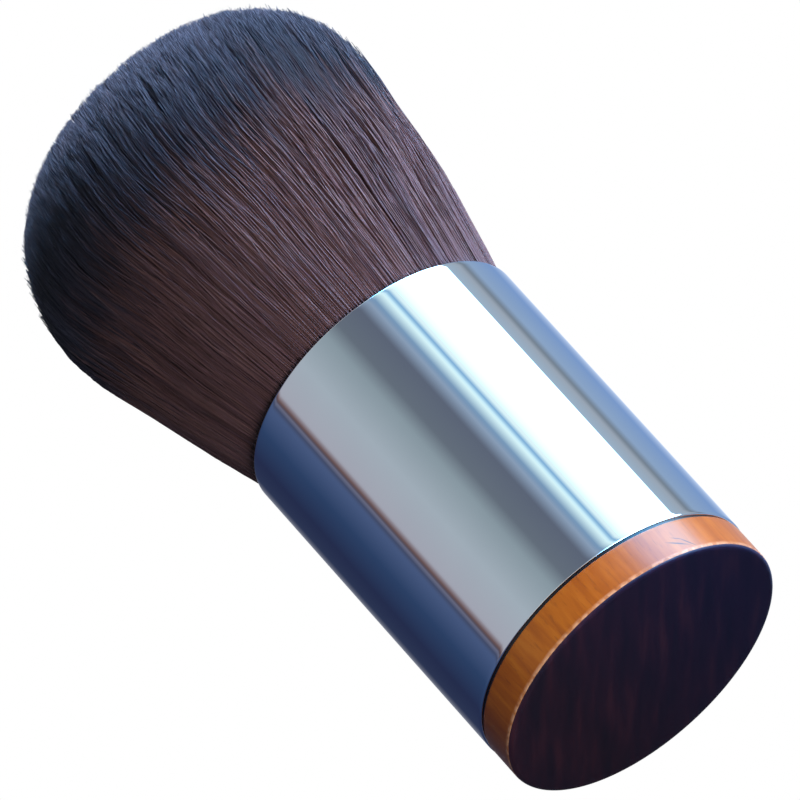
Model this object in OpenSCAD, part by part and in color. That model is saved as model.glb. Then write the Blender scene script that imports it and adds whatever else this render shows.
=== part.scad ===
// Kabuki makeup brush: a domed fibre head in a chrome tube on a turned wooden plug.
// Millimetres. The brush stands upright, +Z runs up its axis to the fibre tips, and the
// origin is the centre of the wooden plug's underside, which is the face it stands on.

/* [Ferrule] */
// Outside diameter of the chrome tube
ferrule_d = 33; // [28:0.5:40]
// Wall thickness of the tube
ferrule_wall = 0.6; // [0.5:0.1:1.2]
// Length of the tube
ferrule_len = 38.65; // [34:0.05:50]
// Radius that eases the edges of the tube's two ends
ferrule_ease = 0.22; // [0.1:0.02:0.24]

/* [Handle plug] */
// Height of the lacquered band that shows under the tube
band_h = 4.45; // [2.5:0.05:8]
// How far the band's surface lies inside the tube's outer surface
band_inset = 0.08; // [0:0.02:0.3]
// Radius of the band's lower edge
band_foot_r = 0.55; // [0.2:0.05:1.2]
// Radius of the band's upper edge
band_top_r = 0.15; // [0.05:0.05:0.3]
// Length of the spigot inside the tube
spigot_len = 17; // [12:0.5:19]
// Chamfer at the spigot's leading end
spigot_lead = 0.9; // [0.3:0.1:1.5]
// Number of glue grooves turned in the spigot
glue_grooves = 2; // [1:1:3]
// Height of a glue groove
glue_groove_h = 1.4; // [0.8:0.1:2]
// Depth of a glue groove
glue_groove_depth = 0.6; // [0.3:0.1:1]

/* [Adhesive] */
// Thickness of the glue film round the spigot
glue_film = 0.2; // [0.1:0.05:0.3]
// Height of the dark glue line between the wood and the tube
glue_line_h = 0.3; // [0.15:0.05:0.5]
// How far the glue line lies inside the tube's outer surface
glue_line_inset = 0.35; // [0.25:0.05:0.45]

/* [Knot] */
// Clearance between the knot's cup and the tube
cup_clearance = 0.05; // [0.02:0.01:0.2]
// Wall and floor thickness of the cup
cup_wall = 0.4; // [0.3:0.05:0.8]
// Height of the cup
cup_h = 12; // [9:0.5:15]
// Depth of the potting resin in the cup
resin_h = 7; // [4:0.5:9]
// Thickness of the slice of resin-bound fibre ends that the strands grow from
root_slice_h = 1.5; // [1:0.1:2.5]
// Radius of the bundle where it is bound
knot_r = 14.5; // [12:0.1:14.6]
// Radial thickness of the thread wound round the bundle
thread_t = 0.7; // [0.4:0.05:0.8]
// Height of the winding
thread_h = 3.2; // [2:0.1:4]

/* [Bristle head] */
// Rings of strands round the axis: 3 x rings x (rings + 1) strands in all
strand_rings = 11; // [10:1:12]
// Gap between the outer strands and the tube where they leave it
head_clearance = 0.1; // [0.05:0.05:0.3]
// Radius of the head at its widest
head_r = 21.5; // [18:0.1:24]
// Height of the widest place above the tube's end
head_widest_h = 27.5; // [22:0.1:34]
// How quickly the head spreads as it leaves the tube: 1 is a straight cone
flare_power = 1.28; // [1:0.02:2]
// Height of the crown's rounded shoulder above the widest place
shoulder_h = 11.1; // [6:0.1:14]
// Squareness of the shoulder seen from above
shoulder_square = 7; // [2:0.1:9]
// Roundness of the shoulder seen from the side
shoulder_round = 2; // [1.4:0.05:2.5]
// Height of the low dome on top of the shoulder
dome_h = 3.5; // [1:0.1:8]
// Part of its tile that a strand fills across
strand_fill = 0.8; // [0.6:0.02:0.86]
// Turn of each ring of strands past the one inside it, in degrees, so that no gap runs straight through
ring_turn = 2.4; // [0:0.2:3]

/* [Hidden] */
$fn = 128;
ferrule_r = ferrule_d / 2;
bore_r = ferrule_r - ferrule_wall;
ferrule_z = band_h + glue_line_h;
rim_z = ferrule_z + ferrule_len;
band_r = ferrule_r - band_inset;
spigot_r = bore_r - glue_film;
spigot_top_z = band_h + spigot_len;
groove_pitch = spigot_len / (glue_grooves + 1);
cup_r = bore_r - cup_clearance;
cup_bore_r = cup_r - cup_wall;
cup_floor_z = spigot_top_z + cup_wall;
resin_top_z = cup_floor_z + resin_h;
root_z = resin_top_z + root_slice_h;
widest_z = rim_z + head_widest_h;
mouth_r = bore_r - head_clearance;
strand_mid = 0.55;
strand_count = 3 * strand_rings * (strand_rings + 1);
lattice_count = strand_count + 1;
rim_count = 6 * strand_rings;

// Points of an arc about a centre, from one angle to another.
function arc(cx, cy, r, from, to, steps = 6) =
    [for (i = [0:steps]) let (a = from + (to - from) * i / steps) [cx + r * cos(a), cy + r * sin(a)]];

// Profile of the glue grooves on the spigot from the lowest up, at the given radius.
function groove_steps(r) = [
    for (g = [1:glue_grooves])
        let (z = band_h + g * groove_pitch, in_r = spigot_r - glue_groove_depth, half = glue_groove_h / 2)
        each [[r, z - half], [in_r, z - half], [in_r, z + half], [r, z + half]]
];

// Radius of the flaring head at a height, up to its widest place and straight on above it.
function head_radius(z) =
    let (t = min(max((z - rim_z) / head_widest_h, 0), 1))
    mouth_r + (head_r - mouth_r) * (1 - pow(1 - t, flare_power));

// Height of the crown over a place that lies at the given part of the head's radius.
function crown_z(part) =
    let (p = min(part, 1))
    widest_z + shoulder_h * pow(1 - pow(p, shoulder_square), 1 / shoulder_round) + dome_h * (1 - p * p);

// Place in a unit disc of point i on ring k of the lattice that the strands stand on.
function lattice_point(k, i) =
    let (turn = 60 * i / max(k, 1) + ring_turn * k)
    (k / strand_rings) * [cos(turn), sin(turn)];

// Number of that point in the list of lattice points, ring by ring from the centre.
function lattice_index(k, i) = k == 0 ? 0 : 1 + 3 * k * (k - 1) + i % (6 * k);

// The three corners, as [ring, place on the ring], of each strand's tile.
strand_tiles = [
    for (k = [1:strand_rings]) for (sector = [0:5]) for (i = [0:k - 1])
        [[k - 1, sector * (k - 1) + i], [k, sector * k + i], [k, sector * k + i + 1]]
];

// The tiles between the strands, which stay as the floor of the root slice.
floor_tiles = [
    for (k = [2:strand_rings]) for (sector = [0:5]) for (i = [0:k - 2])
        [[k - 1, sector * (k - 1) + i], [k - 1, sector * (k - 1) + i + 1], [k, sector * k + i + 1]]
];

// Corner of a strand at a level: 1 at the tube's end, 2 part way up, 3 at the tip.
function strand_point(place, level) =
    let (
        part = norm(place),
        tip_z = crown_z(part),
        z = level == 1 ? rim_z : level == 2 ? rim_z + strand_mid * (tip_z - rim_z) : tip_z
    )
    [place[0] * head_radius(z), place[1] * head_radius(z), z];

// A strand's nine upper corners, drawn in towards its own middle so that it clears its neighbours.
function strand_points(tile) =
    let (
        corners = [for (c = tile) lattice_point(c[0], c[1])],
        middle = (corners[0] + corners[1] + corners[2]) / 3
    )
    [for (level = [1:3]) for (c = corners) strand_point(middle + strand_fill * (c - middle), level)];

// The two triangles of a side wall from the lower edge a-b up to the edge c-d above it.
function wall(a, b, c, d) = [[a, c, d], [a, d, b]];

// All the triangles of strand number n.
function strand_faces(n) =
    let (
        first = lattice_count + 9 * n,
        root = [for (c = strand_tiles[n]) lattice_index(c[0], c[1])],
        rows = [root, [for (j = [0:2]) first + j], [for (j = [3:5]) first + j], [for (j = [6:8]) first + j]]
    )
    concat(
        [for (level = [0:2]) for (j = [0:2])
            each wall(rows[level][j], rows[level][(j + 1) % 3], rows[level + 1][j], rows[level + 1][(j + 1) % 3])],
        [[rows[3][0], rows[3][2], rows[3][1]]]
    );

// Straight chrome tube, open at both ends, its edges eased inside and out.
module ferrule() {
    color("gainsboro") rotate_extrude()
        polygon(concat(
            arc(ferrule_r - ferrule_ease, ferrule_z + ferrule_ease, ferrule_ease, -90, 0),
            arc(ferrule_r - ferrule_ease, rim_z - ferrule_ease, ferrule_ease, 0, 90),
            arc(bore_r + ferrule_ease, rim_z - ferrule_ease, ferrule_ease, 90, 180),
            arc(bore_r + ferrule_ease, ferrule_z + ferrule_ease, ferrule_ease, 180, 270)
        ));
}

// Turned wooden plug: the band that shows, and the grooved spigot inside the tube.
module handle_plug() {
    color("saddlebrown") rotate_extrude()
        polygon(concat(
            [[0, 0]],
            arc(band_r - band_foot_r, band_foot_r, band_foot_r, -90, 0),
            arc(band_r - band_top_r, band_h - band_top_r, band_top_r, 0, 90),
            [[spigot_r, band_h]],
            groove_steps(spigot_r),
            [[spigot_r, spigot_top_z - spigot_lead], [spigot_r - spigot_lead, spigot_top_z], [0, spigot_top_z]]
        ));
}

// Cured glue: the dark line under the tube, the film round the spigot and its two keys.
module plug_adhesive() {
    color("black") rotate_extrude()
        polygon(concat(
            [[spigot_r, band_h]],
            groove_steps(spigot_r),
            [
                [spigot_r, spigot_top_z - spigot_lead],
                [bore_r, spigot_top_z - spigot_lead],
                [bore_r, ferrule_z + ferrule_ease],
                [bore_r + ferrule_ease, ferrule_z],
                [ferrule_r - glue_line_inset, ferrule_z],
                [ferrule_r - glue_line_inset, band_h]
            ]
        ));
}

// Drawn aluminium cup that the bundle of fibres is set in, standing on the spigot.
module knot_cup() {
    color("silver") difference() {
        translate([0, 0, spigot_top_z]) cylinder(r = cup_r, h = cup_h);
        translate([0, 0, cup_floor_z]) cylinder(r = cup_bore_r, h = cup_h);
    }
}

// Potting resin in the cup, which grips the fibres' ends.
module resin_plug() {
    color("goldenrod") translate([0, 0, cup_floor_z]) cylinder(r = cup_bore_r, h = resin_h);
}

// Thread wound round the bundle on top of the resin.
module binding_thread() {
    color("ivory") translate([0, 0, resin_top_z]) difference() {
        cylinder(r = knot_r + 0.2 + thread_t, h = thread_h);
        translate([0, 0, -1]) cylinder(r = knot_r + 0.2, h = thread_h + 2);
    }
}

// The fibre head: three-sided strands that flare out of the tube to the dome, fused at
// their roots to a slice of the resin-bound bundle. Each strand keeps to its own tile of
// a six-sector lattice at every height, so none crosses another.
module bristles() {
    root_points = [
        for (k = [0:strand_rings]) for (i = [0:max(6 * k, 1) - 1])
            let (p = knot_r * lattice_point(k, i)) [p[0], p[1], root_z]
    ];
    upper_points = [for (tile = strand_tiles) each strand_points(tile)];
    foot_points = [
        for (i = [0:rim_count - 1])
            let (p = knot_r * lattice_point(strand_rings, i)) [p[0], p[1], resin_top_z]
    ];
    foot = lattice_count + 9 * strand_count;
    rim = lattice_index(strand_rings, 0);
    floor_faces = [for (tile = floor_tiles) [for (c = tile) lattice_index(c[0], c[1])]];
    side_faces = [
        for (i = [0:rim_count - 1])
            let (next = (i + 1) % rim_count)
            each wall(foot + i, foot + next, rim + i, rim + next)
    ];
    foot_faces = [for (i = [1:rim_count - 2]) [foot, foot + i, foot + i + 1]];
    color([0.16, 0.11, 0.12]) polyhedron(
        points = concat(root_points, upper_points, foot_points),
        faces = concat(
            [for (n = [0:strand_count - 1]) each strand_faces(n)],
            floor_faces,
            side_faces,
            foot_faces
        ),
        convexity = 10
    );
}

ferrule();
handle_plug();
plug_adhesive();
knot_cup();
resin_plug();
binding_thread();
bristles();
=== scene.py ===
"""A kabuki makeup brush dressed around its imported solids: chrome tube, lacquered plug and fibre head."""

import math

import bpy
import numpy as np
from mathutils import Matrix, Vector


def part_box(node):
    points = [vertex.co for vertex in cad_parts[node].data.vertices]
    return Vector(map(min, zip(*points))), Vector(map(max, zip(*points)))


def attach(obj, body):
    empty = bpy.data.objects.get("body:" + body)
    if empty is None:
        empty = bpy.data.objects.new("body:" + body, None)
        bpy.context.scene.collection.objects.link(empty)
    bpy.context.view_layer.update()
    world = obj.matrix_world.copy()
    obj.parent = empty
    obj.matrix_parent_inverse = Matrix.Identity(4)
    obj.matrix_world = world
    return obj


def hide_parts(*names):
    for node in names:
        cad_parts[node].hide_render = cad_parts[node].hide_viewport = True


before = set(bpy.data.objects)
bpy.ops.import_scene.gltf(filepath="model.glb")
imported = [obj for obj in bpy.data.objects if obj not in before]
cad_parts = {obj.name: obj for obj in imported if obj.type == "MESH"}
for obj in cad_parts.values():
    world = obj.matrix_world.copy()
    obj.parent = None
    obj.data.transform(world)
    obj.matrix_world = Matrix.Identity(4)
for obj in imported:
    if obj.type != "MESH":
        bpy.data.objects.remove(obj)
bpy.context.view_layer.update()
MM = 0.001

# Sizes in millimetres, from the solids where they carry them
FERRULE_LOW, FERRULE_HIGH = (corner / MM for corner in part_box("ferrule"))
PLUG_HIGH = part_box("handle_plug")[1] / MM
HEAD_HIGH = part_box("bristles")[1] / MM
TUBE_R = FERRULE_HIGH.x
TUBE_FOOT = FERRULE_LOW.z
RIM = FERRULE_HIGH.z
TUBE_WALL = 0.6
TUBE_EASE = 0.22
BAND_R = PLUG_HIGH.x
BAND_H = 4.45
BAND_FOOT_R = 0.55
BAND_TOP_R = 0.15
SPIGOT_R = 15.7
SPIGOT_LEAD = 0.9
GLUE_GROOVE_DEPTH = 0.6
GLUE_GROOVE_H = 1.4
GLUE_GROOVES = 2

# Narrow guard rings beside the rounded edges, and the part of the foot's rounded edge that takes its dark
# finish
TUBE_GUARD = 0.4
BAND_GUARD = 0.3
DARK_FOOT_EDGE = 0.55

# The head's outline, as the solid strands have it
MOUTH_R = 15.8
HEAD_R = 21.5
WIDEST = RIM + 27.5
DOME_H = 3.5
SHOULDER_H = HEAD_HIGH.z - WIDEST - DOME_H
FLARE_POWER = 1.28
SHOULDER_SQUARE = 7
SHOULDER_ROUND = 2

# How far the head leans along X, and at what heights above the rim: towards -X low down and most of all
# under its widest place, and towards +X at its crown
LEAN_LOW = 0.27
LEAN_LOW_FULL = 10
LEAN_LOW_END = 31
LEAN_WIDE = 0.73
LEAN_WIDE_H = 24.5
LEAN_WIDE_SPREAD = 6.5
LEAN_CROWN = 0.8
LEAN_CROWN_H = 36
LEAN_TURN = 6

# Camera: the photograph's view from below the base, the brush lying across the frame
VIEW_ELEVATION = -28.5
VIEW_ROLL = 42
VIEW_DISTANCE = 1100
VIEW_AIM_HEIGHT = 41
LENS = 490
SENSOR = 36


def srgb(text):
    """A hex colour as linear red, green, blue and alpha."""
    parts = [int(text[i : i + 2], 16) / 255 for i in (0, 2, 4)]
    return tuple(c / 12.92 if c <= 0.04045 else ((c + 0.055) / 1.055) ** 2.4 for c in parts) + (1.0,)


def smooth(x):
    """0 below 0, 1 above 1 and an even curve between them."""
    x = np.clip(x, 0, 1)
    return x * x * (3 - 2 * x)


def arc(cx, cz, r, start, end, steps=6):
    """Points of an arc in a profile, in degrees."""
    turns = [math.radians(start + (end - start) * i / steps) for i in range(steps + 1)]
    return [(cx + r * math.cos(a), cz + r * math.sin(a)) for a in turns]


def head_radius(z):
    """Radius of the flaring head at a height, straight on above its widest place."""
    t = np.clip((z - RIM) / (WIDEST - RIM), 0, 1)
    return MOUTH_R + (HEAD_R - MOUTH_R) * (1 - (1 - t) ** FLARE_POWER)


def crown_height(part):
    """Height of the crown over a place at the given part of the head's radius."""
    part = np.minimum(part, 1)
    shoulder = (1 - part**SHOULDER_SQUARE) ** (1 / SHOULDER_ROUND)
    return WIDEST + SHOULDER_H * shoulder + DOME_H * (1 - part * part)


def lean(z):
    """The head's sideways lean along X at a height."""
    h = z - RIM
    low = LEAN_LOW * (smooth(h / LEAN_LOW_FULL) - smooth((h - LEAN_LOW_END) / LEAN_TURN))
    wide = LEAN_WIDE * np.exp(-(((h - LEAN_WIDE_H) / LEAN_WIDE_SPREAD) ** 2))
    return LEAN_CROWN * smooth((h - LEAN_CROWN_H) / LEAN_TURN) - low - wide


# Materials


def new_material(name):
    """An empty node material's tree, with its output."""
    material = bpy.data.materials.new(name)
    material.use_nodes = True
    tree = material.node_tree
    tree.nodes.clear()
    tree.nodes.new("ShaderNodeOutputMaterial")
    return material, tree


def node(tree, kind, *values, stops=None, **settings):
    """Adds a node. Settings are its options or, with _ for a space, its inputs by name. Values fill its
    inputs in order. An input takes a number, a hex colour, a socket or a node's first output."""
    made = tree.nodes.new(kind)
    named = {key.replace("_", " "): value for key, value in settings.items() if not hasattr(made, key)}
    for key, value in settings.items():
        if hasattr(made, key):
            setattr(made, key, value)
    pairs = list(zip([s for s in made.inputs if s.enabled], values))
    pairs += [(made.inputs[key], value) for key, value in named.items()]
    for socket, value in pairs:
        if isinstance(value, bpy.types.Node):
            value = next(s for s in value.outputs if s.enabled)
        if isinstance(value, bpy.types.NodeSocket):
            tree.links.new(value, socket)
        else:
            socket.default_value = srgb(value) if isinstance(value, str) else value
    for number, (place, colour) in enumerate(stops or []):
        elements = made.color_ramp.elements
        element = elements[number] if number < len(elements) else elements.new(place)
        element.position = place
        element.color = srgb(colour)
    return made


def finish(tree, shader):
    """Joins a shader to the tree's output."""
    out = next(n for n in tree.nodes if n.type.startswith("OUTPUT"))
    tree.links.new(shader.outputs[0], out.inputs["Surface"])


def millimetres(tree, x=1.0, y=1.0, z=1.0, turn=0.0):
    """Object coordinates with the given number of pattern units to the millimetre, turned about Z first."""
    place = node(tree, "ShaderNodeTexCoord").outputs["Object"]
    turned = node(tree, "ShaderNodeMapping", place, Rotation=(0, 0, math.radians(turn)))
    return node(tree, "ShaderNodeMapping", turned, Scale=(x / MM, y / MM, z / MM))


def chrome_plate():
    """Bright chrome plate on a polished drawn tube: a mirror, with a faint haze from handling."""
    material, tree = new_material("polished_chrome_plate")
    haze = node(tree, "ShaderNodeTexNoise", millimetres(tree), Scale=0.12, Detail=3.0)
    colour = node(tree, "ShaderNodeMix", haze, "dfe3e7", "d9dde2", data_type="RGBA")
    rough = node(tree, "ShaderNodeMapRange", haze, 0.35, 0.65, 0.006, 0.02)
    finish(tree, node(tree, "ShaderNodeBsdfPrincipled", Base_Color=colour, Roughness=rough, Metallic=1.0))
    return material


# Fine drying cracks in the lacquer: where round the band in degrees, height, length, width and tilt
CRACKS = [(41.5, 1.6, 3.0, 0.26, -28), (45.5, 1.4, 2.4, 0.22, -50), (42.6, 2.2, 1.8, 0.15, -30)]
CRACK_DEPTH = 0.9

# Heights between which the band's lower edge is painted pale: partly a painted highlight on the rounded
# edge, partly lacquer rubbed thin
PALE_EDGE_HEIGHTS = (0.75, 0.4)

# The foot's growth lines run across it at this turn, and a painted reflection of blue sky covers it along X
# between these places
FOOT_GRAIN_TURN = -23
FOOT_SKY_REFLECTION = (-8, 12)


def drying_cracks(tree):
    """How deep a place on the band lies in one of the spindle-shaped cracks, from 0 to 1."""
    split = node(tree, "ShaderNodeSeparateXYZ", millimetres(tree))
    front = node(tree, "ShaderNodeMath", split.outputs["Y"], -1.0, operation="MULTIPLY")
    turn = node(tree, "ShaderNodeMath", split.outputs["X"], front, operation="ARCTAN2")
    along = node(tree, "ShaderNodeMath", turn, BAND_R, operation="MULTIPLY")
    flat = node(tree, "ShaderNodeCombineXYZ", along, split.outputs["Z"])
    deep = 0.0
    for angle, height, length, width, tilt in CRACKS:
        middle = (BAND_R * math.radians(angle), height, 0)
        size = (length / 2, width / 2, 1)
        turned = (0, 0, math.radians(tilt))
        place = node(tree, "ShaderNodeMapping", flat, middle, turned, size, vector_type="TEXTURE")
        away = node(tree, "ShaderNodeVectorMath", place, operation="LENGTH")
        one = node(tree, "ShaderNodeMapRange", away, 1.0, 0.4)
        deep = node(tree, "ShaderNodeMath", one, deep, operation="MAXIMUM")
    return deep


def lacquered_side():
    """Side grain of the turned plug under clear lacquer: warm brown, with short dark pores along the axis.
    The lower edge has a pale line, partly a painted highlight on the rounded edge and partly lacquer rubbed
    thin."""
    material, tree = new_material("lacquered_turned_wood")
    grain = node(tree, "ShaderNodeTexNoise", millimetres(tree, 1.3, 1.3, 0.16), Scale=1.0, Detail=5.0)
    colours = [(0.3, "783f06"), (0.46, "824708"), (0.56, "8a4e0a"), (0.72, "945914")]
    side = node(tree, "ShaderNodeValToRGB", grain, stops=colours)
    cloud = node(tree, "ShaderNodeTexNoise", millimetres(tree, 0.14, 0.14, 0.05), Scale=1.0, Detail=2.0)
    cloudy = node(tree, "ShaderNodeMapRange", cloud, 0.35, 0.65, 0.0, 0.55)
    side = node(tree, "ShaderNodeMix", cloudy, side, "743a06", data_type="RGBA")
    pores = node(tree, "ShaderNodeTexNoise", millimetres(tree, 4.5, 4.5, 0.6), Scale=1.0, Detail=2.0)
    dark = node(tree, "ShaderNodeMapRange", pores, 0.6, 0.74, 0.0, 0.3)
    side = node(tree, "ShaderNodeMix", dark, side, "3c1a0c", data_type="RGBA")
    height = node(tree, "ShaderNodeSeparateXYZ", millimetres(tree)).outputs["Z"]
    chips = node(tree, "ShaderNodeTexNoise", millimetres(tree, 1.4, 1.4, 1.4), Scale=1.0, Detail=3.0)
    most = node(tree, "ShaderNodeMapRange", chips, 0.4, 0.6, 0.2, 0.75)
    # Pale line on the lower edge: painted highlight on the rounding, together with lacquer rubbed thin
    # there
    edge_highlight_and_wear = node(tree, "ShaderNodeMapRange", height, *PALE_EDGE_HEIGHTS, 0.0, most)
    side = node(tree, "ShaderNodeMix", edge_highlight_and_wear, side, "b89272", data_type="RGBA")
    cracked = node(tree, "ShaderNodeMath", drying_cracks(tree), CRACK_DEPTH, operation="MULTIPLY")
    side = node(tree, "ShaderNodeMix", cracked, side, "160a0e", data_type="RGBA")
    bump = node(tree, "ShaderNodeBump", Height=pores, Strength=0.12, Distance=0.00005)
    shader = node(
        tree,
        "ShaderNodeBsdfPrincipled",
        Base_Color=side,
        Normal=bump,
        Roughness=0.5,
        Specular_IOR_Level=0.05,
        Coat_Weight=0.7,
        Coat_Roughness=0.3,
    )
    finish(tree, shader)
    return material


def dark_foot_finish():
    """End grain of the plug's foot: nearly black, with faint growth lines, and a painted reflection of blue
    sky towards +X.
    """
    material, tree = new_material("dark_end_grain")
    along = millimetres(tree, 0.6, 0.08, 1, FOOT_GRAIN_TURN)
    lines = node(tree, "ShaderNodeTexNoise", along, Scale=1.0, Detail=4.0)
    reds = [(0.36, "1a121e"), (0.54, "241420"), (0.72, "331a24")]
    sky_reflection_colours = [(0.36, "15132c"), (0.54, "1a142e"), (0.72, "271a30")]
    red = node(tree, "ShaderNodeValToRGB", lines, stops=reds)
    painted_sky_blue = node(tree, "ShaderNodeValToRGB", lines, stops=sky_reflection_colours)
    across = node(tree, "ShaderNodeSeparateXYZ", millimetres(tree)).outputs["X"]
    # Painted reflection of blue sky, growing towards +X
    sky_reflection_mask = node(tree, "ShaderNodeMapRange", across, *FOOT_SKY_REFLECTION)
    colour = node(tree, "ShaderNodeMix", sky_reflection_mask, red, painted_sky_blue, data_type="RGBA")
    shine = {"Roughness": 0.5, "Specular_IOR_Level": 0.3}
    finish(tree, node(tree, "ShaderNodeBsdfPrincipled", Base_Color=colour, **shine))
    return material


def plain_finish(name, low, high, grain_mm, **settings):
    """A finish with a soft two-colour mottle of the given grain size."""
    material, tree = new_material(name)
    mottle = node(tree, "ShaderNodeTexNoise", millimetres(tree), Scale=1 / grain_mm, Detail=4.0)
    spread = node(tree, "ShaderNodeMapRange", mottle, 0.35, 0.65)
    colour = node(tree, "ShaderNodeMix", spread, low, high, data_type="RGBA")
    finish(tree, node(tree, "ShaderNodeBsdfPrincipled", Base_Color=colour, **settings))
    return material


# The fibres' map has a column for each shade, and its rows are the heights between these two
FIBRE_MAP = "OFBake"
FIBRE_SHADES = 128
SINK = 3.0
HAIR_LOW, HAIR_HIGH = RIM - SINK, HEAD_HIGH.z + 1

# Parts of the hair's height where the dip begins and ends, how far its edge frays, and where the tips grow
# paler: painted light on the crown
DIPPED = (0.44, 0.64)
DIP_FRAY = 0.1
TIP_LIGHTENING = (0.6, 0.86)

# How many patches of its own colour the hair has across the shades and up the head
OWN_PATCHES = (71, 7, 1)


def hair_colour(tree, shade, height, own):
    """The dyed hair by its shade and its height in the head: brown, then blue-black where the dip begins,
    and a paler slate blue towards the tips, painted light on the upward-facing crown. The last input is a
    pattern that frays the edge of the dip."""
    brown = [(0.0, "302020"), (0.35, "422e2e"), (0.7, "5a4342"), (1.0, "755c58")]
    deep = [(0.0, "121218"), (0.6, "25242f"), (1.0, "3c3b49")]
    slate = [(0.0, "262a37"), (0.5, "3b3f4f"), (1.0, "575b6c")]
    root = node(tree, "ShaderNodeValToRGB", shade, stops=brown)
    violet = node(tree, "ShaderNodeMapRange", own, 0.45, 0.65, 0.0, 0.4)
    root = node(tree, "ShaderNodeMix", violet, root, "543f4a", data_type="RGBA")
    dark = node(tree, "ShaderNodeValToRGB", shade, stops=deep)
    pale = node(tree, "ShaderNodeValToRGB", shade, stops=slate)
    # Paler with height towards the tips: painted light on the crown, which faces up to the lamps
    tip_lightening = node(tree, "ShaderNodeMapRange", height, *TIP_LIGHTENING)
    tip = node(tree, "ShaderNodeMix", tip_lightening, dark, pale, data_type="RGBA")
    shift = node(tree, "ShaderNodeMapRange", own, 0.3, 0.7, -DIP_FRAY, DIP_FRAY)
    turn = node(tree, "ShaderNodeMath", height, shift, operation="ADD")
    dipped = node(tree, "ShaderNodeMapRange", turn, *DIPPED)
    return node(tree, "ShaderNodeMix", dipped, root, tip, data_type="RGBA")


def dyed_fibre():
    """Fine soft hair, dyed brown and dipped blue-black at the tips, with a satin gloss. On the fibres' map,
    U is a fibre's own shade and V its height in the head."""
    material, tree = new_material("dyed_soft_hair")
    place = node(tree, "ShaderNodeUVMap", uv_map=FIBRE_MAP)
    split = node(tree, "ShaderNodeSeparateXYZ", place)
    stretched = node(tree, "ShaderNodeMapping", place, Scale=OWN_PATCHES)
    own = node(tree, "ShaderNodeTexNoise", stretched, Scale=1.0, Detail=1.0, noise_dimensions="2D")
    colour = hair_colour(tree, split.outputs["X"], split.outputs["Y"], own)
    shine = {"Roughness": 0.65, "Specular_IOR_Level": 0.35}
    finish(tree, node(tree, "ShaderNodeBsdfPrincipled", Base_Color=colour, **shine))
    return material


def packed_hair():
    """The close-packed hair inside the head, seen only between the outer fibres: the same dye, painted
    darker as shade between the fibres.
    """
    material, tree = new_material("packed_dyed_hair")
    strands = node(tree, "ShaderNodeTexNoise", millimetres(tree, 3.0, 3.0, 0.2), Scale=1.0, Detail=3.0)
    # Only the darker half of the shades: painted shade in the gaps between the fibres
    shade = node(tree, "ShaderNodeMapRange", strands, 0.3, 0.7, 0.0, 0.5)
    above = node(tree, "ShaderNodeSeparateXYZ", millimetres(tree)).outputs["Z"]
    height = node(tree, "ShaderNodeMapRange", above, HAIR_LOW, HAIR_HIGH)
    colour = hair_colour(tree, shade, height, strands)
    finish(tree, node(tree, "ShaderNodeBsdfPrincipled", Base_Color=colour, Roughness=0.7))
    return material


# Modelling

# How many steps round the turned pieces have
TUBE_STEPS = 256
PLUG_STEPS = 192
CORE_STEPS = 96


def select_only(piece):
    bpy.ops.object.select_all(action="DESELECT")
    piece.select_set(True)
    bpy.context.view_layer.objects.active = piece


def finish_piece(piece, name, materials, replaced):
    """Names, dresses and places a finished piece on the brush's only body."""
    piece.name = name
    piece.data.name = name
    piece.data.materials.clear()
    for material in materials:
        piece.data.materials.append(material)
    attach(piece, "root")
    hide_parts(replaced)
    return piece


def lathe(profile, steps, smooth_angle=35):
    """Turns a profile of (radius, height) points in millimetres about the axis, as on a lathe."""
    bpy.ops.object.select_all(action="DESELECT")
    start_r, start_z = profile[0]
    bpy.ops.mesh.primitive_plane_add(size=MM, location=(start_r * MM, 0, start_z * MM))
    piece = bpy.context.object
    bpy.ops.object.transform_apply(location=True, rotation=True, scale=True)
    bpy.ops.object.mode_set(mode="EDIT")
    bpy.ops.mesh.select_all(action="SELECT")
    bpy.ops.mesh.merge(type="CENTER")
    for (r0, z0), (r1, z1) in zip(profile, profile[1:]):
        step = ((r1 - r0) * MM, 0, (z1 - z0) * MM)
        bpy.ops.mesh.extrude_region_move(TRANSFORM_OT_translate={"value": step})
    bpy.ops.mesh.select_all(action="SELECT")
    bpy.ops.mesh.spin(steps=steps, angle=2 * math.pi, center=(0, 0, 0), axis=(0, 0, 1))
    bpy.ops.mesh.select_all(action="SELECT")
    bpy.ops.mesh.remove_doubles(threshold=1e-7)
    bpy.ops.mesh.dissolve_degenerate(threshold=1e-8)
    bpy.ops.mesh.select_all(action="SELECT")
    bpy.ops.mesh.normals_make_consistent(inside=False)
    bpy.ops.object.mode_set(mode="OBJECT")
    select_only(piece)
    bpy.ops.object.shade_smooth_by_angle(angle=math.radians(smooth_angle))
    return piece


def make_ferrule():
    """The chrome tube. Guard rings by its eased edges keep the straight walls' mirror true."""
    guard = TUBE_GUARD
    bore = TUBE_R - TUBE_WALL
    low, high, ease = TUBE_FOOT, RIM, TUBE_EASE
    profile = (
        arc(TUBE_R - ease, low + ease, ease, -90, 0)
        + [(TUBE_R, low + ease + guard), (TUBE_R, high - ease - guard)]
        + arc(TUBE_R - ease, high - ease, ease, 0, 90)
        + arc(bore + ease, high - ease, ease, 90, 180)
        + [(bore, high - ease - guard), (bore, low + ease + guard)]
        + arc(bore + ease, low + ease, ease, 180, 270)
    )
    tube = lathe(profile + [profile[0]], TUBE_STEPS)
    finish_piece(tube, "ferrule_tube", [chrome_plate()], "ferrule")


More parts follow.
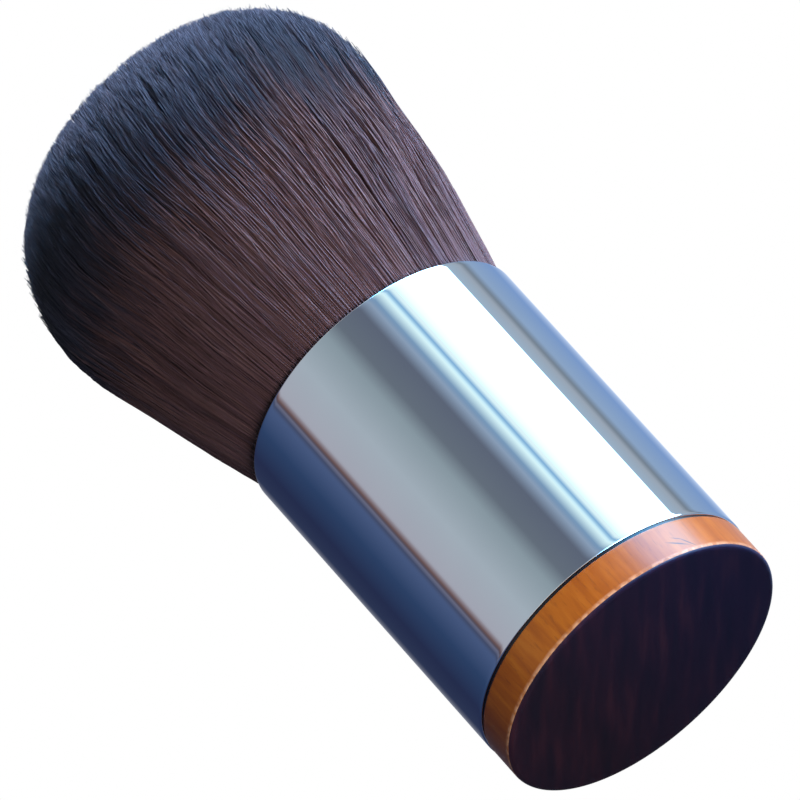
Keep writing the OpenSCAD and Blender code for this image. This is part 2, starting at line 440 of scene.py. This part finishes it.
def make_plug():
    """The turned plug: foot with a rounded lower edge, band, and the grooved spigot up inside the tube. The
    foot's dark finish ends part of the way up its rounded edge."""
    guard = BAND_GUARD
    top = PLUG_HIGH.z
    pitch = (top - BAND_H) / (GLUE_GROOVES + 1)
    inner = SPIGOT_R - GLUE_GROOVE_DEPTH
    grooves = []
    for number in range(1, GLUE_GROOVES + 1):
        low = BAND_H + number * pitch - GLUE_GROOVE_H / 2
        high = low + GLUE_GROOVE_H
        grooves += [(SPIGOT_R, low), (inner, low), (inner, high), (SPIGOT_R, high)]
    profile = (
        [(0, 0), (BAND_R - BAND_FOOT_R - guard, 0)]
        + arc(BAND_R - BAND_FOOT_R, BAND_FOOT_R, BAND_FOOT_R, -90, 0, 10)
        + [(BAND_R, BAND_FOOT_R + guard), (BAND_R, BAND_H - BAND_TOP_R - guard)]
        + arc(BAND_R - BAND_TOP_R, BAND_H - BAND_TOP_R, BAND_TOP_R, 0, 90)
        + [(SPIGOT_R, BAND_H)]
        + grooves
        + [(SPIGOT_R, top - SPIGOT_LEAD), (SPIGOT_R - SPIGOT_LEAD, top), (0, top)]
    )
    finishes = [lacquered_side(), dark_foot_finish()]
    plug = lathe(profile, PLUG_STEPS)
    finish_piece(plug, "turned_plug", finishes, "handle_plug")
    foot_edge = BAND_FOOT_R * DARK_FOOT_EDGE * MM
    for face in plug.data.polygons:
        face.material_index = int(face.center.z < foot_edge)


def make_core():
    """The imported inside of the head, a little smaller than the fibres' outline all over."""
    side_part, crown_drop, root_sink = 0.95, 1.8, 4.0
    heights = np.linspace(RIM - root_sink, WIDEST - crown_drop, 14)
    profile = [(0, RIM - root_sink)] + [(float(head_radius(z) * side_part), float(z)) for z in heights]
    for part in np.linspace(1, 0, 15)[1:]:
        profile.append((float(part * HEAD_R * side_part), float(crown_height(part) - crown_drop)))
    core = lathe(profile, CORE_STEPS, 180)
    finish_piece(core, "bristle_core", [packed_hair()], "bristles")
    for vertex in core.data.vertices:
        vertex.co.x += float(lean(vertex.co.z / MM)) * MM


# Fibres

# Fibres lie in clumps, and clumps in locks. A piece takes as many fibres as its triangles allow
SEED = 20
LOCKS = 320
CLUMPS = 2600
SIDE_FIBRES = 16000
CROWN_FIBRES = 36000
SIDE_STEPS = 9
CROWN_STEPS = 3
MOST_TRIANGLES = 190000

# A fibre's width in millimetres, how it varies, and the part of it that is left at the tip
FIBRE_D = 0.17
FIBRE_WIDTHS = (0.75, 1.2)
FIBRE_TIP = 0.3

# In millimetres: the crown's fibres' length, the height at which fibres are free of the rim, the wear of
# single tips, how unevenly the locks' tips stand and the most they fall short, and room to tube and outline
CROWN_REACH = 12.0
FREE_H = 9
TIP_WEAR = 0.1
TIP_SPREAD = 0.1
MOST_DROP = 0.3
TUBE_CLEARANCE = 0.12
OUTLINE_CLEARANCE = 0.08

# Places as parts of the head's radius: the outer fibres' inmost roots, and the crown's and tips' limits
SIDE_PART = 0.88
CROWN_PART = 0.95
WIDEST_TIP = 0.998

# How far tips draw in to the middles of their clump and lock, and how far they stray: a few go far
CLUMP_PULL = (0.1, 0.5)
LOCK_PULL = 0.15
TIDY_SIZE = 0.008
STRAY_SIZE = 0.07
STRAYS = 0.12

# Wander of a fibre along its height: length and size of each wave in millimetres, and how lengths vary
WANDER = ((30, 0.22), (13, 0.1))
WAVE_TUNE = (0.7, 1.4)

# Shades from 0, dark, to 1: their middle, and how they spread among locks, clumps and fibres
SHADE = 0.46
LOCK_SHADES = 0.12
CLUMP_SHADES = 0.06
FIBRE_SHADE_SPREAD = 0.07
LIGHTEST = 0.999

# The dip's edge: its spread among locks as a part of the hair's height, and its rise along X, painted
# light: the brown shows higher on the lit +X side
DIP_SPREAD = 0.02
LIT_SIDE_DIP_RISE = 0.14


def disc_points(draw, count, low, high):
    """Random places in the unit disc, even by area, between two parts of its radius."""
    part = np.sqrt(draw.uniform(low**2, high**2, count))
    turn = draw.uniform(0, 2 * math.pi, count)
    return np.stack([part * np.cos(turn), part * np.sin(turn)], 1)


def nearest(points, centres):
    """The number of each point's nearest centre."""
    found = np.empty(len(points), int)
    for first in range(0, len(points), 2000):
        block = points[first : first + 2000]
        gap = ((block[:, None] - centres[None]) ** 2).sum(2)
        found[first : first + 2000] = gap.argmin(1)
    return found


def waves(draw, count, z, sizes):
    """Sideways wander of fibres along their height in two directions, as parts of the head's radius."""
    total = np.zeros(z.shape + (2,))
    for length, size in sizes:
        start = draw.uniform(0, 2 * math.pi, (count, 1, 2))
        tune = draw.uniform(*WAVE_TUNE, (count, 1, 2))
        swing = size * draw.normal(0, 1, (count, 1, 2))
        total += swing * np.sin(start + 2 * math.pi * tune * z[..., None] / length)
    return total / HEAD_R


def make_bundle(draw):
    """The clumps that fibres gather in, and the wider locks that the clumps lie in: for each clump its
    centre, its lock's centre, its shade, how far its tips stand out and how deep it was dipped."""
    locks = disc_points(draw, LOCKS, 0, 1)
    clumps = disc_points(draw, CLUMPS, 0, 1)
    lock = nearest(clumps, locks)
    shade = draw.normal(SHADE, LOCK_SHADES, LOCKS)[lock] + draw.normal(0, CLUMP_SHADES, CLUMPS)
    lift = draw.normal(0, TIP_SPREAD, LOCKS)[lock]
    dip = draw.normal(0, DIP_SPREAD, LOCKS)[lock]
    return clumps, locks[lock], shade, lift, dip


def grow(draw, roots, bundle, steps, reach):
    """Paths, widths, shades and dips of fibres from their places in the bundle. With a reach, only tip ends
    of that length are grown."""
    count = len(roots)
    centres, lock_centres, shades, lifts, dips = bundle
    clump = nearest(roots, centres)
    pull = draw.uniform(*CLUMP_PULL, count)[:, None]
    tips = roots + (centres[clump] - roots) * pull + (lock_centres[clump] - roots) * LOCK_PULL
    wander = np.where(draw.uniform(0, 1, count) < STRAYS, STRAY_SIZE, TIDY_SIZE)[:, None]
    tips += wander * draw.normal(0, 1, (count, 2))
    size = np.linalg.norm(tips, axis=1)
    tips *= (np.minimum(size, WIDEST_TIP) / size)[:, None]
    top = crown_height(np.linalg.norm(tips, axis=1)) - draw.exponential(TIP_WEAR, count)
    top += np.clip(lifts[clump], -MOST_DROP, 0.0)
    bottom = np.maximum(RIM - SINK, top - reach) if reach else np.full(count, RIM - SINK)
    t = np.linspace(0, 1, steps + 1)[None, :]
    z = bottom[:, None] + (top - bottom)[:, None] * t
    along = smooth((z - RIM + SINK) / (top[:, None] - RIM + SINK))[..., None]
    free = smooth((z - RIM) / FREE_H)[..., None]
    place = roots[:, None] * (1 - along) + tips[:, None] * along
    place += free * waves(draw, count, z, WANDER)
    size = np.linalg.norm(place, axis=2)
    place *= (np.minimum(size, 1.0) / np.maximum(size, 1e-6))[..., None]
    r = np.where(z < RIM, MOUTH_R - TUBE_CLEARANCE, head_radius(z) - OUTLINE_CLEARANCE)
    paths = np.stack([place[..., 0] * r + lean(z), place[..., 1] * r, z], 2)
    width = FIBRE_D * draw.uniform(*FIBRE_WIDTHS, count)[:, None] * (1 - (1 - FIBRE_TIP) * t**3)
    shade = np.clip(shades[clump] + draw.normal(0, FIBRE_SHADE_SPREAD, count), 0, LIGHTEST)
    return paths, width, shade, dips[clump]


def fibre_mesh(name, fibres, draw, material):
    """One closed mesh of three-sided fibres. On the map, a fibre's column is its shade and its rows are
    heights, moved by how deep it was dipped: deeper in some locks, and, as painted light, less deep on the
    lit +X side."""
    paths, widths, shades, dips = fibres
    count, rows = paths.shape[:2]
    ahead = np.gradient(paths, axis=1)
    ahead /= np.linalg.norm(ahead, axis=2, keepdims=True)
    out = np.concatenate([paths[..., :2], np.zeros((count, rows, 1))], 2)
    out /= np.maximum(np.linalg.norm(out, axis=2, keepdims=True), 1e-6)
    side = np.cross(ahead, out)
    side /= np.linalg.norm(side, axis=2, keepdims=True)
    out = np.cross(side, ahead)
    turn = draw.uniform(0, 2 * math.pi, count)[:, None, None] + np.array([0, 1, 2]) * 2 * math.pi / 3
    half = widths[..., None, None] / 2
    ring = np.cos(turn)[..., None] * side[:, :, None] + np.sin(turn)[..., None] * out[:, :, None]
    verts = (paths[:, :, None] + half * ring) * MM

    base = (np.arange(count) * rows * 3)[:, None, None]
    row = (np.arange(rows - 1) * 3)[None, :, None]
    corner, after = np.arange(3)[None, None], np.array([1, 2, 0])[None, None]
    below = base + row
    quads = np.stack([below + corner, below + after, below + 3 + after, below + 3 + corner], -1)
    ends = base[:, 0] + np.array([[2, 1, 0]])
    tips = base[:, 0] + (rows - 1) * 3 + np.array([[0, 1, 2]])

    # Columns of the map keep clear of their neighbours, and the two end faces lie just inside them
    margin, end_size = 0.08, 0.004
    column = np.floor(shades * FIBRE_SHADES)[:, None]
    u = (column + margin + (1 - 2 * margin) * np.array([0, 1, 2, 3]) / 3) / FIBRE_SHADES
    # The dip's edge rises towards +X: painted light on the lit side
    above = paths[..., 2] - LIT_SIDE_DIP_RISE * paths[..., 0] - HAIR_LOW
    v = np.clip(above / (HAIR_HIGH - HAIR_LOW) + dips[:, None], 0, 1)
    left, right = np.broadcast_arrays(u[:, None, :3], u[:, None, 1:] + 0 * v[:, :-1, None])
    low, high = np.broadcast_arrays(v[:, :-1, None], v[:, 1:, None] + 0 * left)
    left = left + 0 * low
    corners = ((left, low), (right, low), (right, high), (left, high))
    wall_map = np.stack([np.stack(pair, -1) for pair in corners], 3)
    end_maps = []
    for row_v, lift in ((v[:, 0], end_size), (v[:, -1], -end_size)):
        end_v = row_v[:, None] + np.array([0, lift, 0])
        end_maps.append(np.stack([u[:, [0, 1, 3]], end_v], -1))

    faces = np.concatenate([quads.reshape(-1), ends.reshape(-1), tips.reshape(-1)])
    places = np.concatenate([wall_map.reshape(-1, 2)] + [m.reshape(-1, 2) for m in end_maps])
    sizes = np.concatenate([np.full(quads[..., 0].size, 4), np.full(2 * count, 3)])

    mesh = bpy.data.meshes.new(name)
    mesh.vertices.add(verts.size // 3)
    mesh.vertices.foreach_set("co", verts.reshape(-1).astype(np.float32))
    mesh.loops.add(len(faces))
    mesh.loops.foreach_set("vertex_index", faces.astype(np.int32))
    mesh.polygons.add(len(sizes))
    mesh.polygons.foreach_set("loop_start", (np.cumsum(sizes) - sizes).astype(np.int32))
    mesh.polygons.foreach_set("use_smooth", np.ones(len(sizes), bool))
    layer = mesh.uv_layers.new(name=FIBRE_MAP)
    layer.uv.foreach_set("vector", places.reshape(-1).astype(np.float32))
    mesh.update(calc_edges=True)
    mesh.validate()
    piece = bpy.data.objects.new(name, mesh)
    bpy.context.scene.collection.objects.link(piece)
    finish_piece(piece, name, [material], "bristles")


def make_fibres():
    """The side fibres, from inside the tube to their tips, and the crown's, from inside the core."""
    draw = np.random.default_rng(SEED)
    bundle = make_bundle(draw)
    material = dyed_fibre()
    for word, count, low, high, steps, reach in (
        ("side", SIDE_FIBRES, SIDE_PART, 1.0, SIDE_STEPS, None),
        ("crown", CROWN_FIBRES, 0.0, CROWN_PART, CROWN_STEPS, CROWN_REACH),
    ):
        roots = disc_points(draw, count, low, high)
        roots = roots[np.argsort(np.arctan2(roots[:, 1], roots[:, 0]))]
        fibres = grow(draw, roots, bundle, steps, reach)
        triangles = steps * 6 + 2
        groups = math.ceil(count * triangles / MOST_TRIANGLES)
        for number, group in enumerate(np.array_split(np.arange(count), groups), 1):
            name = f"{word}_fibres_{number}"
            fibre_mesh(name, [values[group] for values in fibres], draw, material)


def dress_inner_nodes():
    """The solids that stay as they are get their own finishes."""
    drawn = {"Roughness": 0.38, "Metallic": 1.0}
    finishes = {
        "plug_adhesive": plain_finish("cured_dark_glue", "0b0709", "1a0f10", 0.5, Roughness=0.35),
        "knot_cup": plain_finish("drawn_aluminium", "b9bbc0", "c9cbd0", 1.5, **drawn),
        "resin_plug": plain_finish("potting_resin", "a8842f", "c09a45", 2.0, Roughness=0.2),
        "binding_thread": plain_finish("waxed_cotton_thread", "c9c0a2", "ddd6bd", 0.3, Roughness=0.8),
    }
    for name, material in finishes.items():
        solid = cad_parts[name]
        solid.data.materials.clear()
        solid.data.materials.append(material)


# Stage

# Sizes in metres. The floor fades between the two distances
SURROUND_LIGHT = 0.05
FLOOR_SIZE = 3.0
FLOOR_FADE = (0.15, 0.45)
FOOT_CARD_GAP = 0.0001
FLOOR_GAP = 0.0002
WRAP_R = 0.45
WRAP_H = 2.4

# What stands round the brush and shows in the chrome, by the angle seen from above, 0 towards the camera
# and 90 towards +X: navy and blue cloth, a grey wall, a dark doorway, bright bars, and blue cloth again
WRAP_CARDS = [
    (-176, "888d9a"),
    (-162, "5f6373"),
    (-150, "2c3550"),
    (-124, "262e4c"),
    (-96, "2e4265"),
    (-75, "4a5b80"),
    (-71, "444a62"),
    (-69.5, "70748c"),
    (-67.5, "584f5a"),
    (-66, "6c5452"),
    (-64, "8a7c82"),
    (-61.5, "aaaab4"),
    (-34, "a8b2ba"),
    (-8, "8e9ca3"),
    (3, "68717c"),
    (21.5, "606878"),
    (29.5, "90a2b8"),
    (33.5, "7898b8"),
    (41, "e4ffff"),
    (42.5, "d0f4ff"),
    (44.7, "72a8d4"),
    (48, "e8ffff"),
    (52, "f0ffff"),
    (99, "a0b4c6"),
    (108, "a0aab6"),
    (113, "788490"),
    (120, "90a8c6"),
    (146, "7a98c6"),
    (164, "a8bcdc"),
    (176, "dce6f4"),
]
WRAP_STRENGTH = 1.24

# The window between the bars and the second blue cloth, far brighter than the cards
WINDOW = (50, 97)
WINDOW_EDGE = 3
WINDOW_PANES = [
    (50, "337cae"),
    (68, "3f84b4"),
    (76, "6496bc"),
    (94, "83a9c5"),
]
WINDOW_STRENGTH = 36.0


def only_for_mirrors(piece):
    """A card of the stage that only glossy surfaces see."""
    piece.visible_camera = False
    piece.visible_diffuse = False
    piece.visible_transmission = False
    piece.visible_volume_scatter = False
    piece.visible_shadow = False


def make_wrap():
    """An upright sleeve of studio cards round the brush."""
    bpy.ops.object.select_all(action="DESELECT")
    size = {"vertices": 180, "radius": WRAP_R, "depth": WRAP_H}
    bpy.ops.mesh.primitive_cylinder_add(end_fill_type="NOTHING", **size)
    wrap = bpy.context.object
    wrap.name = "studio_wrap"
    material, tree = new_material("studio_wrap")
    split = node(tree, "ShaderNodeSeparateXYZ", node(tree, "ShaderNodeTexCoord").outputs["Object"])
    front = node(tree, "ShaderNodeMath", split.outputs["Y"], -1.0, operation="MULTIPLY")
    turn = node(tree, "ShaderNodeMath", split.outputs["X"], front, operation="ARCTAN2")
    degrees = node(tree, "ShaderNodeMath", turn, 180 / math.pi, operation="MULTIPLY")
    along = node(tree, "ShaderNodeMapRange", degrees, -180, 180)
    shades = []
    for cards, strength in ((WRAP_CARDS, WRAP_STRENGTH), (WINDOW_PANES, WINDOW_STRENGTH)):
        stops = [((angle + 180) / 360, colour) for angle, colour in cards]
        colour = node(tree, "ShaderNodeValToRGB", along, stops=stops)
        shades.append(node(tree, "ShaderNodeEmission", colour, strength))
    opened = node(tree, "ShaderNodeMapRange", degrees, WINDOW[0], WINDOW[0] + WINDOW_EDGE)
    closed = node(tree, "ShaderNodeMapRange", degrees, WINDOW[1] - WINDOW_EDGE, WINDOW[1])
    lit = node(tree, "ShaderNodeMath", opened, closed, operation="SUBTRACT")
    finish(tree, node(tree, "ShaderNodeMixShader", lit, *shades))
    wrap.data.materials.append(material)
    only_for_mirrors(wrap)


def make_foot_card():
    """A dark card just under the foot, like a table's shadow, so that the foot mirrors nothing bright."""
    bpy.ops.object.select_all(action="DESELECT")
    place = (0, 0, -FOOT_CARD_GAP)
    bpy.ops.mesh.primitive_circle_add(vertices=64, radius=TUBE_R * MM, fill_type="NGON", location=place)
    card = bpy.context.object
    card.name = "foot_card"
    material, tree = new_material("foot_card")
    finish(tree, node(tree, "ShaderNodeEmission", "14121c", 1.0))
    card.data.materials.append(material)
    only_for_mirrors(card)


def make_floor():
    """A pale floor that fades into the white surround. It is clear from below, where the camera is."""
    bpy.ops.object.select_all(action="DESELECT")
    bpy.ops.mesh.primitive_plane_add(size=FLOOR_SIZE, location=(0, 0, -FLOOR_GAP))
    floor = bpy.context.object
    floor.name = "floor"
    material, tree = new_material("pale_floor")
    paint = node(tree, "ShaderNodeBsdfDiffuse", "f4f4f4")
    clear = node(tree, "ShaderNodeBsdfTransparent")
    below = node(tree, "ShaderNodeNewGeometry").outputs["Backfacing"]
    place = node(tree, "ShaderNodeTexCoord").outputs["Object"]
    away = node(tree, "ShaderNodeVectorMath", place, operation="LENGTH")
    tip_lightening = node(tree, "ShaderNodeMapRange", away, *FLOOR_FADE)
    hidden = node(tree, "ShaderNodeMath", below, tip_lightening, operation="MAXIMUM")
    finish(tree, node(tree, "ShaderNodeMixShader", hidden, paint, clear))
    floor.data.materials.append(material)
    floor.visible_diffuse = False
    floor.visible_shadow = False
    floor.visible_glossy = False


def make_lamp(name, place, aim, size, power, colour):
    """A round soft lamp aimed at a place."""
    lamp = bpy.data.lights.new(name, "AREA")
    lamp.shape = "DISK"
    lamp.size = size
    lamp.energy = power
    lamp.color = srgb(colour)[:3]
    thing = bpy.data.objects.new(name, lamp)
    bpy.context.scene.collection.objects.link(thing)
    thing.location = place
    thing.rotation_mode = "QUATERNION"
    thing.rotation_quaternion = (Vector(aim) - Vector(place)).to_track_quat("-Z", "Y")
    thing.visible_camera = False
    thing.visible_glossy = False


def make_light():
    """A soft key from the right, weaker lamps from above and behind, a faint one under the foot, and a
    surround that is white to the camera and in mirrors and faint as light."""
    aim = (0, 0, 0.045)
    make_lamp("key", (0.66, -0.18, 0.32), aim, 0.9, 17.0, "f8eeff")
    make_lamp("top", (0.45, 0.05, 0.65), aim, 0.6, 9.0, "f2eeff")
    make_lamp("back", (-0.25, 0.65, 0.3), aim, 0.6, 4.0, "f6f4ff")
    make_lamp("under", (0.02, -0.13, -0.09), (0, 0, 0), 0.08, 0.36, "fff8fa")
    world = bpy.data.worlds.new("surround")
    bpy.context.scene.world = world
    world.use_nodes = True
    tree = world.node_tree
    tree.nodes.clear()
    tree.nodes.new("ShaderNodeOutputWorld")
    rays = node(tree, "ShaderNodeLightPath").outputs
    seen = rays["Is Camera Ray"]
    for kind in ("Is Glossy Ray", "Is Transmission Ray"):
        seen = node(tree, "ShaderNodeMath", seen, rays[kind], operation="MAXIMUM")
    strength = node(tree, "ShaderNodeMapRange", seen, 0, 1, SURROUND_LIGHT, 1.0)
    finish(tree, node(tree, "ShaderNodeBackground", "ffffff", strength))


def make_camera():
    """The photograph's long lens, below the foot and rolled so that the brush lies across the frame."""
    camera = bpy.data.cameras.new("camera")
    camera.sensor_width = SENSOR
    camera.lens = LENS
    camera.clip_start, camera.clip_end = 0.05, 20
    thing = bpy.data.objects.new("camera", camera)
    bpy.context.scene.collection.objects.link(thing)
    tilt, roll = math.radians(VIEW_ELEVATION), math.radians(VIEW_ROLL)
    back = Vector((0, -math.cos(tilt), math.sin(tilt)))
    aim = Vector((0, 0, VIEW_AIM_HEIGHT * MM))
    turned = (-back).to_track_quat("-Z", "Y").to_matrix() @ Matrix.Rotation(-roll, 3, "Z")
    thing.rotation_mode = "QUATERNION"
    thing.rotation_quaternion = turned.to_quaternion()
    thing.location = aim + back * VIEW_DISTANCE * MM
    bpy.context.scene.camera = thing


make_camera()
make_ferrule()
make_plug()
make_core()
make_fibres()
dress_inner_nodes()
make_wrap()
make_foot_card()
make_floor()
make_light()
bpy.context.scene.view_settings.view_transform = "Standard"
